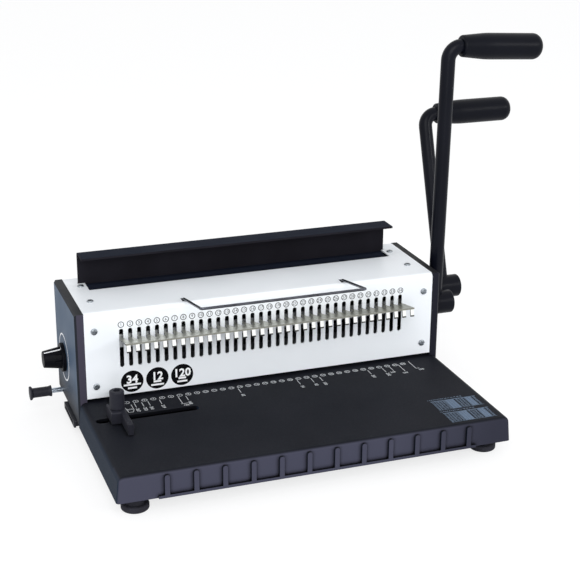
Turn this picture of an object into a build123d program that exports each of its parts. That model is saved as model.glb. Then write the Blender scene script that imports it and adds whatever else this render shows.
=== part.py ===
from build123d import *
from collections import namedtuple
import math
import os

os.makedirs("parts", exist_ok=True)

# A bench machine that punches a row of square holes and closes wire combs. Everything is in millimetres.
# X runs to the right, Y to the rear and Z up. X = 0 is the middle of the row of slots, Y = 0 the front face
# of the white cover, and Z = 0 the surface that the machine stands on.

# Row of slots, teeth and punch pins, three to the inch
tooth_count = 34
tooth_pitch = 8.4667

# Clearances, and one overrun for every cut
running_gap = 0.05
sliding_gap = 0.3
overrun = 30.0

# Base moulding
foot_height = 15.5
base_height = 24.0
base_beyond = 0.6
base_depth = 153.9
base_wall = 3.0
base_draft = 2.4
base_end_round = 6.0
base_edge_radius = 3.0
rib_count = 12
rib_width = 4.4
rib_round_share = 0.49
rib_proud = 2.2
rib_drop = 2.8
lip_height = 2.6
lip_overhang = 7.5
guide_slot_side = 7.7
guide_slot_length = 96.0
guide_slot_y = -43.2
guide_slot_width = 9.0
boss_radius = 6.5

# Feet, with the screw that holds each
foot_radius = 12.3
foot_disc_height = 5.8
foot_neck_radius = 8.2
left_foot_inset = 19.6
left_foot_lead = 17.9
right_foot_inset = 15.3
right_foot_lead = 24.2
rear_foot_inset = 11.4
foot_round = 1.6
foot_screw_radius = 2.0
foot_screw_head = 4.0
foot_screw_head_height = 2.2
foot_recess = 3.4

# Side plates and folded sheets
plate_margin = 34.3
plate_thickness = 8.4
plate_beyond = 1.6
plate_chamfer = 1.8
cover_margin = 18.2
sheet = 1.2
cover_bend = 4.0
rear_clear = 0.61
bottom_sheet = 1.5
bottom_rear_y = 14.6

# Slots and openings in the cover
slot_width = 4.0
slot_rise = 30.9
slot_height = 38.1
cutout_side = 18.8
cutout_lead = 0.1

# Screws that hold the covers
screw_radius = 1.6
screw_head = 3.6
screw_head_height = 1.5
screw_length = 4.4
screw_edge = 0.5
front_screw_inset = 9.2
low_screw_rise = 14.8
high_screw_drop = 17.8
top_screw_clear = 5.8
top_screw_front = 31.4
top_screw_rear = 5.9
rear_screw_rises = (10.0, 70.0)
bracket_sheet = 2.0
bracket_side_clear = 1.8
bracket_low = 6.0
bracket_clear = 3.2

# Rear crossbar that carries the rear feet and the rear tray runner
crossbar_sheet = 2.0
crossbar_depth = 37.0
crossbar_height = 22.0
crossbar_boss = 4.0
crossbar_boss_height = 8.0

# Punch tooling
rail_clear = 5.96
die_depth = 32.0
die_thickness = 12.0
throat = 3.0
guide_plate_thickness = 6.0
pin_size = 4.0
pin_gap = 0.15
pin_hidden = 0.4
spacer_width = 15.0
beam_thickness = 7.2
beam_depth = 24.0
beam_margin = 6.0
beam_clear = 0.6

# Shafts, eccentrics and yokes; both shafts lie at one height and swing the same way
yoke_clear = 0.47
shaft_radius = 6.0
disc_collar_radius = 9.0
disc_collar_length = 7.0
punch_half_swing = 40.0
punch_throw = 6.5
punch_disc_wall = 0.5
punch_disc_thickness = 8.0
punch_yoke_gap = 0.35
punch_yoke_wall = 3.6
punch_yoke_shares = (-0.78, 0.0, 0.78)
yoke_foot_height = 5.0
ring_clear = 0.9
closing_half_swing = 50.0
closing_throw = 12.0
closing_disc_wall = 1.0
closing_disc_thickness = 5.0
closing_yoke_gap = 0.6
closing_yoke_wall = 2.6
lifter_lead = 5.2
lifter_arm_depth = 8.6
lifter_headroom = 2.0

# Bushes and return springs round the shafts
bush_wall = 3.0
bush_flange = 11.5
bush_flange_thickness = 1.5
blind_skin = 2.0
spring_bore = 7.0
spring_wire = 2.0
spring_length = 14.0
spring_tang = 11.0

# Levers, hubs and grips; each lever's rod lies this far out from the right plate
punch_lever_out = 15.6
punch_lever_length = 265.0
punch_lever_lean = -1.5
punch_grip_droop = 3.4
closing_lever_out = 44.0
closing_lever_length = 183.2
closing_lever_lean = 18.7
closing_grip_droop = 0.0
lever_radius = 7.0
lever_bend = 13.0
lever_seat = 6.5
lever_stub = 84.0
hub_radius = 11.8
hub_beyond = 18.1
hub_standoff = 0.6
hub_round = 1.6
cap_radius = 9.2
cap_thickness = 2.0
cap_round = 1.2
grip_start = 12.8
grip_length = 86.2
grip_collar = 10.4
grip_radius = 12.8
grip_swell_share = 0.3
grip_swell_radius = 110.0
grip_end_round = 9.0
grip_lip_round = 2.0

# Wire closer: a folded channel that comes down over a fixed anvil
channel_middle = -2.0
channel_spare = 4.3
channel_sheet = 2.0
web_setback = 1.1
web_clear = 1.61
flange_rise = 31.5
flange_reach = 22.3
channel_bend = 4.0
web_slot_gap = 0.7
anvil_front_gap = 1.2
anvil_rear_gap = 1.4
anvil_clear = 4.4
anvil_drop = 1.0
anvil_seat_drop = 4.8
anvil_groove = 3.0
groove_shares = (0.25, 0.5, 0.75)

# Size dial on the left: knob, shaft and the many-sided cam below the closer's stop lug
dial_lead = 20.0
dial_rise = 21.8
dial_skirt_radius = 14.0
dial_skirt_thickness = 3.2
dial_body_radius = 10.6
dial_tip_radius = 8.0
dial_length = 20.0
dial_standoff = 0.6
dial_round = 0.8
dial_flute_count = 8
dial_flute_radius = 2.2
dial_flute_out = 11.6
dial_shaft_radius = 3.0
dial_bush_radius = 6.0
dial_bush_length = 14.0
dial_nut_radius = 8.5
dial_nut_thickness = 3.0
cam_faces = 8
cam_low = 6.0
cam_high = 11.0
cam_thickness = 6.0
cam_lead = 8.0
lug_depth = 6.0
lug_lead = 5.1
lug_leg = 5.0

# Margin rod on the left, and the back gauge that its peg moves
rod_lead = 3.1
rod_rise = 4.8
rod_radius = 2.5
rod_end_inset = 64.0
rod_pull = 10.0
margin_share = 0.4
peg_inset = 24.0
peg_radius = 2.0
peg_collar = 3.4
peg_collar_length = 8.0
knob_out = 11.6
knob_length = 21.0
knob_inner_radius = 5.6
knob_waist_radius = 4.8
knob_outer_radius = 6.8
knob_lip = 3.0
knob_bore_depth = 12.0
rod_guide_width = 9.0
rod_guide_inset = 50.0
gauge_thickness = 2.4
gauge_setback = 5.0
gauge_depth = 10.0
gauge_side = 24.0
gauge_neck_width = 14.0
gauge_tail_half = 17.0
gauge_tail_clear = 2.0
gauge_tail_beyond = 8.0
gauge_slot_spare = 3.0

# Chip tray and its runners
tray_step = 3.0
tray_drop = 7.0
tray_sheet = 1.2
tray_flange = 2.6
tray_side = 24.0
tray_panel_thickness = 2.0
tray_panel_out = 0.6
tray_recess_depth = 1.0
tray_recess_length = 36.0
tray_recess_margin = 1.6
tray_play = 0.5
runner_sheet = 1.6
runner_ledge = 3.2

# Wire comb in front of the slots, drawn flat and then tilted about its line in the slots
comb_level = 27.4
comb_tilt = 10.7
comb_reach = 29.0
comb_thickness = 1.5
comb_tooth_length = 13.0
comb_neck_width = 3.2
comb_tail = 12.0
comb_end = 2.3
tongue_width = 3.6
tongue_length = 7.0
rail_gap = 0.4
rail_depth = 9.0
rail_thickness = 8.0
clamp_thickness = 2.5
clamp_inset = 0.5
clamp_end = 6.0

# Edge guide on the base
guide_stop_beyond = 9.5
guide_bar_width = 5.0
guide_bar_ends = (-80.0, -4.0)
guide_height = 11.0
guide_saddle_width = 13.9
guide_stud_setback = 6.2
guide_saddle_y = (-54.0, -32.0)
guide_round = 1.2
guide_key_length = 12.0
guide_nut_size = 15.0
guide_nut_thickness = 3.0
stud_radius = 2.0
stud_inset = 6.2
guide_knob_foot = 6.9
guide_knob_top = 6.6
guide_knob_height = 16.6
guide_knob_hole = 3.2
guide_knob_hole_depth = 2.5

# Wire bail on the top
bail_middle = 1.7
bail_width = 158.8
bail_wire = 1.3
bail_pivot_y = 7.5
bail_pivot_drop = 4.4
bail_reach = 58.5
bail_foot_rise = 1.2
bail_lift = 16.5
bail_bend = 2.4
bail_pin = 9.0
bail_slot_front = 3.4
bail_slot_rear = 7.7
bail_slot_gap = 0.6
ear_thickness = 2.0
ear_radius = 3.0
ear_inset = 4.5

# Places across the machine that follow from the row of slots
row_half = (tooth_count - 1) * tooth_pitch / 2
teeth_x = [n * tooth_pitch - row_half for n in range(tooth_count)]
rib_pitch = 2 * row_half / (rib_count - 1)
plate_in = row_half + plate_margin
plate_out = plate_in + plate_thickness
base_width = 2 * (plate_out + base_beyond)
cutout_half = plate_in - cutout_side
front_screw_x = plate_in - front_screw_inset
top_screw_x = cutout_half + top_screw_clear
bracket_inner = cutout_half + bracket_side_clear
punch_yoke_x = [share * row_half for share in punch_yoke_shares]
lifter_x = [side * (cutout_half - lifter_lead) for side in (-1, 1)]
channel_half = cutout_half + channel_spare
channel_x = (channel_middle - channel_half, channel_middle + channel_half)
punch_lever_x = plate_out + punch_lever_out
closing_lever_x = plate_out + closing_lever_out
dial_face = -plate_out - dial_standoff
cam_x = lifter_x[0] - cam_lead
cam_span = (cam_x - cam_thickness / 2, cam_x + cam_thickness / 2)
rod_end_x = rod_end_inset - plate_in
peg_x = peg_inset - plate_in
rod_guide_x = rod_guide_inset - plate_in
knob_inner_x = -plate_out - knob_out
gauge_half = plate_in - gauge_side
tray_right = plate_in - tray_side
guide_slot_left = guide_slot_side - base_width / 2
guide_slot_middle = guide_slot_left + guide_slot_length / 2
guide_stop_x = -row_half - guide_stop_beyond
guide_middle = guide_stop_x - guide_stud_setback
bail_x = (bail_middle - bail_width / 2, bail_middle + bail_width / 2)

# Places from front to rear: the punch yokes stand clear of the comb rail, the closer's yokes clear of the
# punch shaft, and the rest stand off from these
rail_front = sheet + bracket_sheet + rail_gap + rail_thickness * math.tan(math.radians(comb_tilt))
punch_disc_radius = punch_throw + shaft_radius + punch_disc_wall
punch_ring = punch_disc_radius + punch_yoke_gap + punch_yoke_wall
punch_disc_lead = punch_throw * math.cos(math.radians(punch_half_swing))
punch_y = rail_front + rail_depth + rail_clear + punch_ring + punch_disc_lead
die_y = (punch_y - die_depth / 2, punch_y + die_depth / 2)
closing_disc_radius = closing_throw + shaft_radius + closing_disc_wall
closing_ring = closing_disc_radius + closing_yoke_gap + closing_yoke_wall
closing_y = punch_y + shaft_radius + ring_clear + closing_throw + closing_ring
closing_disc_y = closing_y - closing_throw * math.cos(math.radians(closing_half_swing))
rear_inside = closing_disc_y + closing_ring + rear_clear
cover_depth = rear_inside + sheet
plate_depth = cover_depth + plate_beyond
left_foot_x = left_foot_inset - base_width / 2
right_foot_x = base_width / 2 - right_foot_inset
left_foot_y = left_foot_lead - base_depth
right_foot_y = right_foot_lead - base_depth
rear_foot_y = cover_depth - rear_foot_inset
crossbar_front = cover_depth - crossbar_depth
web_y = closing_y + web_setback
web_back = web_y + channel_sheet
flange_front = web_y - flange_reach
cutout_front = flange_front - cutout_lead
anvil_y = (cutout_front + anvil_front_gap, web_y - anvil_rear_gap)
bracket_rear = web_y - bracket_clear
top_screw_y = (top_screw_front, bracket_rear - top_screw_rear)
dial_y = closing_y - dial_lead
lug_front = dial_y - lug_lead
rod_y = closing_y - rod_lead
tray_front = bottom_rear_y + tray_step
tray_rear = crossbar_front - tray_step

# Levels
base_top = foot_height + base_height
cover_rise = slot_rise + slot_height + cover_margin
cover_top = base_top + cover_rise
cover_low = base_top + throat
cover_inside = cover_top - sheet
front_screw_rises = (low_screw_rise, cover_rise - high_screw_drop)
comb_rise = slot_rise + comb_level
die_low = base_top - die_thickness
guide_low = base_top + throat
guide_top = guide_low + guide_plate_thickness
punch_stroke = 2 * punch_throw * math.sin(math.radians(punch_half_swing))
closing_stroke = 2 * closing_throw * math.sin(math.radians(closing_half_swing))
beam_low = guide_top + punch_stroke + beam_clear
beam_top = beam_low + beam_thickness
pin_low = guide_low + pin_hidden
shaft_z = beam_top + yoke_clear + punch_ring - punch_stroke / 2
closing_disc_z = shaft_z + closing_stroke / 2
web_low = closing_disc_z + closing_disc_radius + web_clear
anvil_low = closing_disc_z + closing_ring + anvil_clear
anvil_top = cover_top - anvil_drop
dial_z = base_top + dial_rise
rod_height = foot_height + rod_rise
tray_low = foot_height - tray_drop
bail_z = cover_top - bail_pivot_drop

# The part's origin lies on the ground, midway along and across the whole machine
reach_x = (knob_inner_x - knob_length, closing_lever_x + grip_start + grip_length)
closing_lever_back = closing_lever_length * math.sin(math.radians(closing_lever_lean))
reach_y = (-base_depth - rib_proud, closing_y + closing_lever_back + grip_radius)
to_origin = Pos(-sum(reach_x) / 2, -sum(reach_y) / 2, 0)


# Small helpers: blocks, round bars and drawn-out outlines

def block(x, y, z):
    spans = (x, y, z)
    middle = [(low + high) / 2 for low, high in spans]
    size = [high - low for low, high in spans]
    return Pos(*middle) * Box(*size)


def bar_x(x, y, z, radius):
    return Pos((x[0] + x[1]) / 2, y, z) * Rot(0, 90, 0) * Cylinder(radius, x[1] - x[0])


def bar_y(x, y, z, radius):
    return Pos(x, (y[0] + y[1]) / 2, z) * Rot(90, 0, 0) * Cylinder(radius, y[1] - y[0])


def bar_z(x, y, z, radius):
    return Pos(x, y, (z[0] + z[1]) / 2) * Cylinder(radius, z[1] - z[0])


def outline(*points):
    return make_face(Polyline(*points, close=True))


def rounded(face, point, radius):
    return fillet(face.vertices().sort_by_distance(point)[0], radius)


def along_x(x, face):
    return extrude(Plane.YZ.offset(x[0]) * face, amount=x[1] - x[0])


def turned_x(face, y, z):
    return Pos(0, y, z) * revolve(face, Axis.X)


def group(solids):
    return Compound(list(solids))


def both_sides(piece):
    return [piece, mirror(piece, Plane.YZ)]


# Base moulding, the plate that closes it, and the feet

def foot_places():
    return [(left_foot_x, left_foot_y), (right_foot_x, right_foot_y), (left_foot_x, rear_foot_y),
            (right_foot_x, rear_foot_y)]


def base_block(inset):
    low_half = base_width / 2 - inset
    top_half = low_half - base_draft
    top = base_top - inset
    ends = outline((-low_half, foot_height), (low_half, foot_height), (top_half, top), (-top_half, top))
    for side in (-1, 1):
        ends = rounded(ends, (side * top_half, top), base_end_round - inset)
    return extrude(Plane.XZ.offset(inset) * ends, amount=base_depth - 2 * inset)


def base_ribs():
    face = -base_depth
    middle = foot_height + base_height / 2 - rib_drop / 2
    length = base_height - rib_drop
    ribs = [
        Pos(n * rib_pitch - row_half, middle) * RectangleRounded(rib_width, length, rib_width * rib_round_share)
        for n in range(rib_count)
    ]
    half = row_half + lip_overhang
    lip = block((-half, half), (face - rib_proud, face), (foot_height, foot_height + lip_height))
    return extrude(Plane.XZ.offset(-face) * (Sketch() + ribs), amount=rib_proud) + lip


def base_moulding():
    shell = base_block(0)
    front_rim = shell.faces().sort_by(Axis.Y)[0].edges().sort_by(Axis.Z)[1:]
    shell = fillet(front_rim, base_edge_radius)
    shelf_half = plate_in - sliding_gap
    shelf_rear = die_y[0] - sliding_gap
    shelf = block((-shelf_half, shelf_half), (-base_wall, shelf_rear), (base_top - base_wall, base_top))
    notch_half = plate_in - sliding_gap
    notch = block((-notch_half, notch_half), (-base_wall, 0), (foot_height, foot_height + bottom_sheet))
    shell = shell - base_block(base_wall) - notch
    for x, y in foot_places():
        if y < 0:
            boss = bar_z(x, y, (foot_height + bottom_sheet, base_top - base_wall), boss_radius)
            hole = bar_z(x, y, (foot_height, base_top - base_wall), foot_screw_radius)
            shell = shell + boss - hole
    slot = SlotOverall(guide_slot_length, guide_slot_width)
    cut = extrude(Pos(guide_slot_middle, guide_slot_y, base_top) * slot, amount=base_height / 2, both=True)
    return shell + shelf + base_ribs() - cut


def bottom_plate():
    low = (foot_height, foot_height + bottom_sheet)
    half = base_width / 2 - base_wall - base_draft * bottom_sheet / base_height
    plate = block((-half, half), (base_wall - base_depth, -base_wall), low)
    tongue_half = plate_in - sliding_gap
    plate = plate + block((-tongue_half, tongue_half), (-base_wall, bottom_rear_y), low)
    for x, y in foot_places():
        if y < 0:
            plate = plate - bar_z(x, y, low, foot_screw_radius)
    return plate


def foot(x, y):
    neck = foot_neck_radius
    profile = outline(
        (0, foot_recess), (foot_screw_head + sliding_gap, foot_recess), (foot_screw_head + sliding_gap, 0),
        (foot_radius, 0), (foot_radius, foot_disc_height), (neck, foot_disc_height), (neck, foot_height),
        (0, foot_height))
    profile = rounded(profile, (foot_radius, foot_disc_height), foot_round)
    profile = rounded(profile, (foot_radius, 0), foot_round)
    solid = revolve(Plane.XZ * profile, Axis.Z)
    hole = bar_z(0, 0, (0, foot_height + overrun), foot_screw_radius)
    return Pos(x, y, 0) * (solid - hole)


def foot_screw(x, y):
    top = foot_height + crossbar_sheet + crossbar_boss_height - bottom_sheet
    head = bar_z(x, y, (foot_recess - foot_screw_head_height, foot_recess), foot_screw_head)
    return head + bar_z(x, y, (foot_recess, top), foot_screw_radius)


def rear_crossbar():
    low = foot_height
    floor = block((-plate_in, plate_in), (crossbar_front, rear_inside), (low, low + crossbar_sheet))
    wall = block((-plate_in, plate_in), (rear_inside - crossbar_sheet, rear_inside),
                 (low, low + crossbar_height))
    bar = floor + wall
    for x, y in foot_places():
        if y > 0:
            top = low + crossbar_sheet + crossbar_boss_height
            bar = bar + bar_z(x, y, (low + crossbar_sheet, top), crossbar_boss)
            bar = bar - bar_z(x, y, (low, top), foot_screw_radius)
    return bar


# Side plates, covers and their screws

def side_plate(side):
    plate = block((plate_in, plate_out), (0, plate_depth), (foot_height, cover_top))
    plate = chamfer(plate.faces().sort_by(Axis.X)[-1].edges(), plate_chamfer)
    blind = blind_skin if side < 0 else 0
    for y in (punch_y, closing_y):
        plate = plate - bar_x((plate_in, plate_out - blind), y, shaft_z, shaft_radius + bush_wall)
    if side < 0:
        plate = plate - bar_x((plate_in, plate_out), dial_y, dial_z, dial_bush_radius)
        plate = plate - bar_x((plate_in, plate_out), rod_y, rod_height, rod_radius + sliding_gap)
        return mirror(plate, Plane.YZ)
    return plate


def front_top_cover():
    profile = outline(
        (0, cover_low), (0, cover_top), (cover_depth, cover_top), (cover_depth, cover_inside),
        (sheet, cover_inside), (sheet, cover_low))
    profile = rounded(profile, (sheet, cover_inside), cover_bend - sheet)
    profile = rounded(profile, (0, cover_top), cover_bend)
    cover = along_x((-plate_in, plate_in), profile)
    slot_z = base_top + slot_rise + slot_height / 2
    slots = [Pos(x, slot_z) * SlotOverall(slot_height, slot_width, rotation=90) for x in teeth_x]
    screws = [Pos(side * front_screw_x, base_top + rise) * Circle(screw_radius)
              for side in (-1, 1) for rise in front_screw_rises]
    cover = cover - extrude(Plane.XZ * (Sketch() + slots + screws), amount=2 * sheet, both=True)
    web_slot = block((channel_x[0] - web_slot_gap, channel_x[1] + web_slot_gap),
                     (web_y - web_slot_gap, web_back + web_slot_gap), (cover_inside, cover_top))
    opening = block((-cutout_half, cutout_half), (cutout_front, web_y), (cover_inside, cover_top))
    cover = cover - web_slot - opening
    for x in bail_x:
        half = bail_wire + bail_slot_gap
        ends = (bail_pivot_y - bail_slot_front, bail_pivot_y + bail_slot_rear)
        cover = cover - block((x - half, x + half), ends, (cover_top - cover_bend, cover_top))
    for side in (-1, 1):
        for y in top_screw_y:
            cover = cover - bar_z(side * top_screw_x, y, (cover_inside, cover_top), screw_radius)
    return cover


def rear_cover():
    panel = block((-plate_in, plate_in), (rear_inside, cover_depth), (foot_height, cover_inside))
    for x, z in rear_screw_places():
        panel = panel - bar_y(x, (rear_inside, cover_depth), z, screw_radius)
    return panel


def rear_screw_places():
    return [(side * front_screw_x, base_top + rise) for side in (-1, 1) for rise in rear_screw_rises]


def cover_brackets():
    low = cover_low + bracket_low
    profile = outline(
        (sheet, low), (sheet, cover_inside), (bracket_rear, cover_inside),
        (bracket_rear, cover_inside - bracket_sheet), (sheet + bracket_sheet, cover_inside - bracket_sheet),
        (sheet + bracket_sheet, low))
    bend = cover_bend - sheet
    profile = rounded(profile, (sheet + bracket_sheet, cover_inside - bracket_sheet), bend - bracket_sheet)
    profile = rounded(profile, (sheet, cover_inside), bend)
    bracket = along_x((bracket_inner, plate_in), profile)
    for rise in front_screw_rises:
        bracket = bracket - bar_y(front_screw_x, (0, 2 * sheet + bracket_sheet), base_top + rise, screw_radius)
    for y in top_screw_y:
        bracket = bracket - bar_z(top_screw_x, y, (cover_inside - bracket_sheet, cover_inside), screw_radius)
    rear = block((bracket_inner, plate_in), (rear_inside - bracket_sheet, rear_inside),
                 (foot_height + crossbar_height, cover_inside - bracket_sheet))
    for rise in rear_screw_rises:
        hole = bar_y(front_screw_x, (rear_inside - bracket_sheet, rear_inside), base_top + rise, screw_radius)
        rear = rear - hole
    return group(both_sides(bracket) + both_sides(rear))


def pan_screw():
    head = Pos(0, 0, screw_head_height / 2) * Cylinder(screw_head, screw_head_height)
    head = chamfer(head.faces().sort_by(Axis.Z)[-1].edges(), screw_edge)
    shank = Pos(0, 0, -screw_length / 2) * Cylinder(screw_radius, screw_length)
    return head + shank


def cover_screws():
    front = [Pos(side * front_screw_x, 0, base_top + rise) * Rot(90, 0, 0) * pan_screw()
             for side in (-1, 1) for rise in front_screw_rises]
    top = [Pos(side * top_screw_x, y, cover_top) * pan_screw() for side in (-1, 1) for y in top_screw_y]
    return group(front + top)


def rear_screws():
    return group(Pos(x, cover_depth, z) * Rot(-90, 0, 0) * pan_screw() for x, z in rear_screw_places())


# Punch tooling: die, guide plate, pins and the beam that drives them

def pin_holes(low, high):
    side = pin_size + 2 * pin_gap
    holes = [Pos(x, punch_y) * Rectangle(side, side) for x in teeth_x]
    return extrude(Pos(0, 0, low) * (Sketch() + holes), amount=high - low)


def die_plate():
    return block((-plate_in, plate_in), die_y, (die_low, base_top)) - pin_holes(die_low, base_top)


def punch_guide_plate():
    return block((-plate_in, plate_in), die_y, (guide_low, guide_top)) - pin_holes(guide_low, guide_top)


def throat_spacers():
    spacer = block((plate_in - spacer_width, plate_in), die_y, (base_top, guide_low))
    return group(both_sides(spacer))


def punch_beam():
    half = row_half + beam_margin
    beam = block((-half, half), (punch_y - beam_depth / 2, punch_y + beam_depth / 2), (beam_low, beam_top))
    holes = [Pos(x, punch_y) * Rectangle(pin_size, pin_size) for x in teeth_x]
    return beam - extrude(Pos(0, 0, beam_low) * (Sketch() + holes), amount=beam_thickness)


def punch_pins():
    half = pin_size / 2
    return group(block((x - half, x + half), (punch_y - half, punch_y + half), (pin_low, beam_top))
                 for x in teeth_x)


# Shafts with their eccentrics; at rest each disc's middle is ahead of its shaft and above it

Drive = namedtuple("Drive", "y throw disc thickness half_swing gap wall")
punch_drive = Drive(punch_y, punch_throw, punch_disc_radius, punch_disc_thickness, punch_half_swing,
                    punch_yoke_gap, punch_yoke_wall)
closing_drive = Drive(closing_y, closing_throw, closing_disc_radius, closing_disc_thickness,
                      closing_half_swing, closing_yoke_gap, closing_yoke_wall)


def disc_middle(drive):
    turn = math.radians(drive.half_swing)
    return drive.y - drive.throw * math.cos(turn), shaft_z + drive.throw * math.sin(turn)


def eccentric(drive, x):
    half = drive.thickness / 2
    inward = -1 if x > 0 else 1
    disc = bar_x((x - half, x + half), *disc_middle(drive), drive.disc)
    face = x + inward * half
    collar = bar_x(sorted((face, face + inward * disc_collar_length)), drive.y, shaft_z, disc_collar_radius)
    return disc + collar - bar_x((-plate_in, plate_in), drive.y, shaft_z, shaft_radius)


def yoke_ring(drive):
    middle_y, middle_z = disc_middle(drive)
    travel = middle_y - (drive.y - drive.throw)
    middle = Pos(middle_y - travel / 2, middle_z)
    hole = middle * SlotCenterToCenter(travel, 2 * (drive.disc + drive.gap))
    rim = middle * SlotCenterToCenter(travel, 2 * (drive.disc + drive.gap + drive.wall))
    return rim, hole


def plates_at(places, thickness, face):
    return [along_x((x - thickness / 2, x + thickness / 2), face) for x in places]


def punch_yokes():
    rim, hole = yoke_ring(punch_drive)
    foot_shape = Pos(punch_y, beam_top + yoke_foot_height / 2) * Rectangle(beam_depth, yoke_foot_height)
    return group(plates_at(punch_yoke_x, punch_disc_thickness, rim + foot_shape - hole))


def closer_lifters():
    rim, hole = yoke_ring(closing_drive)
    arm_low = disc_middle(closing_drive)[1]
    arm_top = cover_inside - lifter_headroom
    arm = Pos(web_back + lifter_arm_depth / 2, (arm_low + arm_top) / 2)
    face = rim + arm * Rectangle(lifter_arm_depth, arm_top - arm_low) - hole
    web = block(channel_x, (web_y, web_back), (web_low, cover_top))
    return group(plate - web for plate in plates_at(lifter_x, closing_disc_thickness, face))


def shaft(y, lever_x):
    left = blind_skin + sliding_gap - plate_out
    return bar_x((left, lever_x - lever_radius - sliding_gap), y, shaft_z, shaft_radius)


def shaft_bushes(y):
    outer = shaft_radius + bush_wall
    bore = bar_x((-plate_out, plate_out), y, shaft_z, shaft_radius + running_gap)
    flange = bar_x((plate_in - bush_flange_thickness, plate_in), y, shaft_z, bush_flange)
    right = flange + bar_x((plate_in, plate_out), y, shaft_z, outer) - bore
    left = mirror(flange + bar_x((plate_in, plate_out - blind_skin), y, shaft_z, outer), Plane.YZ) - bore
    return group([left, right])


def shaft_spring(y):
    end = plate_in - bush_flange_thickness
    span = (end - spring_length, end)
    coil = bar_x(span, y, shaft_z, spring_bore + spring_wire) - bar_x(span, y, shaft_z, spring_bore)
    tang_z = shaft_z + spring_bore + spring_wire / 2
    tang = bar_x((end - spring_wire, plate_in), y + spring_tang, tang_z, spring_wire / 2)
    leg = bar_y(end - spring_wire, (y, y + spring_tang + spring_wire / 2), tang_z, spring_wire / 2)
    return coil + leg + tang - bar_x(span, y, shaft_z, spring_bore)


# Levers: a bent rod, the hub that clamps it to the shaft, and the grip

def tilted(piece, x, y, lean):
    return Pos(x, y, shaft_z) * Rot(-lean, 0, 0) * piece


def lever_rod(length, droop):
    fall = lever_stub * math.tan(math.radians(droop))
    corners = ((0, 0, -lever_seat), (0, 0, length), (lever_stub, 0, length - fall))
    path = FilletPolyline(*corners, radius=lever_bend)
    return sweep(Plane.XY.offset(-lever_seat) * Circle(lever_radius), path)


def grip(length, droop):
    swell = grip_start + grip_swell_share * grip_length
    end = grip_start + grip_length
    bore = lever_stub / math.cos(math.radians(droop))
    face = outline((grip_start, lever_radius), (grip_start, grip_collar), (swell, grip_radius),
                   (end, grip_radius), (end, 0), (bore, 0), (bore, lever_radius))
    face = rounded(face, (swell, grip_radius), grip_swell_radius)
    face = rounded(face, (end, grip_radius), grip_end_round)
    face = rounded(face, (grip_start, grip_collar), grip_lip_round)
    return Pos(0, 0, length) * Rot(0, droop, 0) * revolve(face, Axis.X)


def lever_hub(x, y, rod):
    end = x + hub_beyond
    hub = bar_x((plate_out + hub_standoff, end), y, shaft_z, hub_radius)
    hub = fillet(hub.faces().sort_by(Axis.X)[-1].edges(), hub_round)
    bore = bar_x((plate_out, x - lever_radius - sliding_gap), y, shaft_z, shaft_radius)
    seat = bar_x((end - cap_thickness / 2, end), y, shaft_z, cap_radius)
    return hub - bore - rod - seat


def hub_cap(x, y):
    end = x + hub_beyond
    cap = bar_x((end - cap_thickness / 2, end + cap_thickness / 2), y, shaft_z, cap_radius)
    return chamfer(cap.faces().sort_by(Axis.X)[-1].edges(), cap_round / 2)


# Wire closer: channel, anvil and stop lug

def closer_channel():
    top = cover_top + flange_rise
    under = top - channel_sheet
    face = outline((web_y, web_low), (web_back, web_low), (web_back, top), (flange_front, top),
                   (flange_front, under), (web_y, under))
    face = rounded(face, (web_y, under), channel_bend - channel_sheet)
    face = rounded(face, (web_back, top), channel_bend)
    return along_x(channel_x, face)


def closing_anvil():
    front, rear = anvil_y
    ridge, floor, back = [front + share * (rear - front) for share in groove_shares]
    face = outline((front, anvil_low), (rear, anvil_low), (rear, anvil_top), (back, anvil_top),
                   (floor, anvil_top - anvil_groove), (ridge, anvil_top), (front, anvil_top))
    half = cutout_half - sliding_gap
    seat = block((-plate_in, plate_in), anvil_y, (anvil_low, cover_top - anvil_seat_drop))
    groove = along_x((-half, half), Pos(0, anvil_top) * outline((ridge, 0), (back, 0), (floor, -anvil_groove)))
    return along_x((-half, half), face) + seat - groove


def stop_lug():
    top = web_low + sliding_gap + lug_leg
    bottom = dial_z + cam_high + closing_stroke + sliding_gap
    leg_rear = lug_front + lug_depth
    face = outline((lug_front, bottom), (leg_rear, bottom), (leg_rear, top - lug_leg), (web_y, top - lug_leg),
                   (web_y, top), (lug_front, top))
    return along_x(cam_span, face)


# Size dial

def dial_knob():
    skirt = dial_face - dial_skirt_thickness
    tip = dial_face - dial_length
    face = outline((dial_face, 0), (dial_face, dial_skirt_radius), (skirt, dial_skirt_radius),
                   (skirt, dial_body_radius), (tip, dial_tip_radius), (tip, 0))
    face = rounded(face, (tip, dial_tip_radius), dial_round)
    face = rounded(face, (skirt, dial_skirt_radius), dial_round)
    knob = turned_x(face, dial_y, dial_z)
    for n in range(dial_flute_count):
        turn = 2 * math.pi * n / dial_flute_count
        flute_y = dial_y + dial_flute_out * math.cos(turn)
        flute_z = dial_z + dial_flute_out * math.sin(turn)
        knob = knob - bar_x((tip - overrun, skirt), flute_y, flute_z, dial_flute_radius)
    return knob - dial_shaft()


def dial_shaft():
    return bar_x((dial_face - dial_length / 2, cam_span[1]), dial_y, dial_z, dial_shaft_radius)


def dial_bush():
    end = dial_bush_length - plate_out
    bush = bar_x((-plate_out, end), dial_y, dial_z, dial_bush_radius)
    nut_face = outline(*[
        (dial_y + dial_nut_radius * math.cos(turn), dial_z + dial_nut_radius * math.sin(turn))
        for turn in [n * math.pi / 3 for n in range(6)]])
    nut = along_x((-plate_in, dial_nut_thickness - plate_in), nut_face)
    return bush + nut - bar_x((-plate_out, end), dial_y, dial_z, dial_shaft_radius + running_gap)


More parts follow.
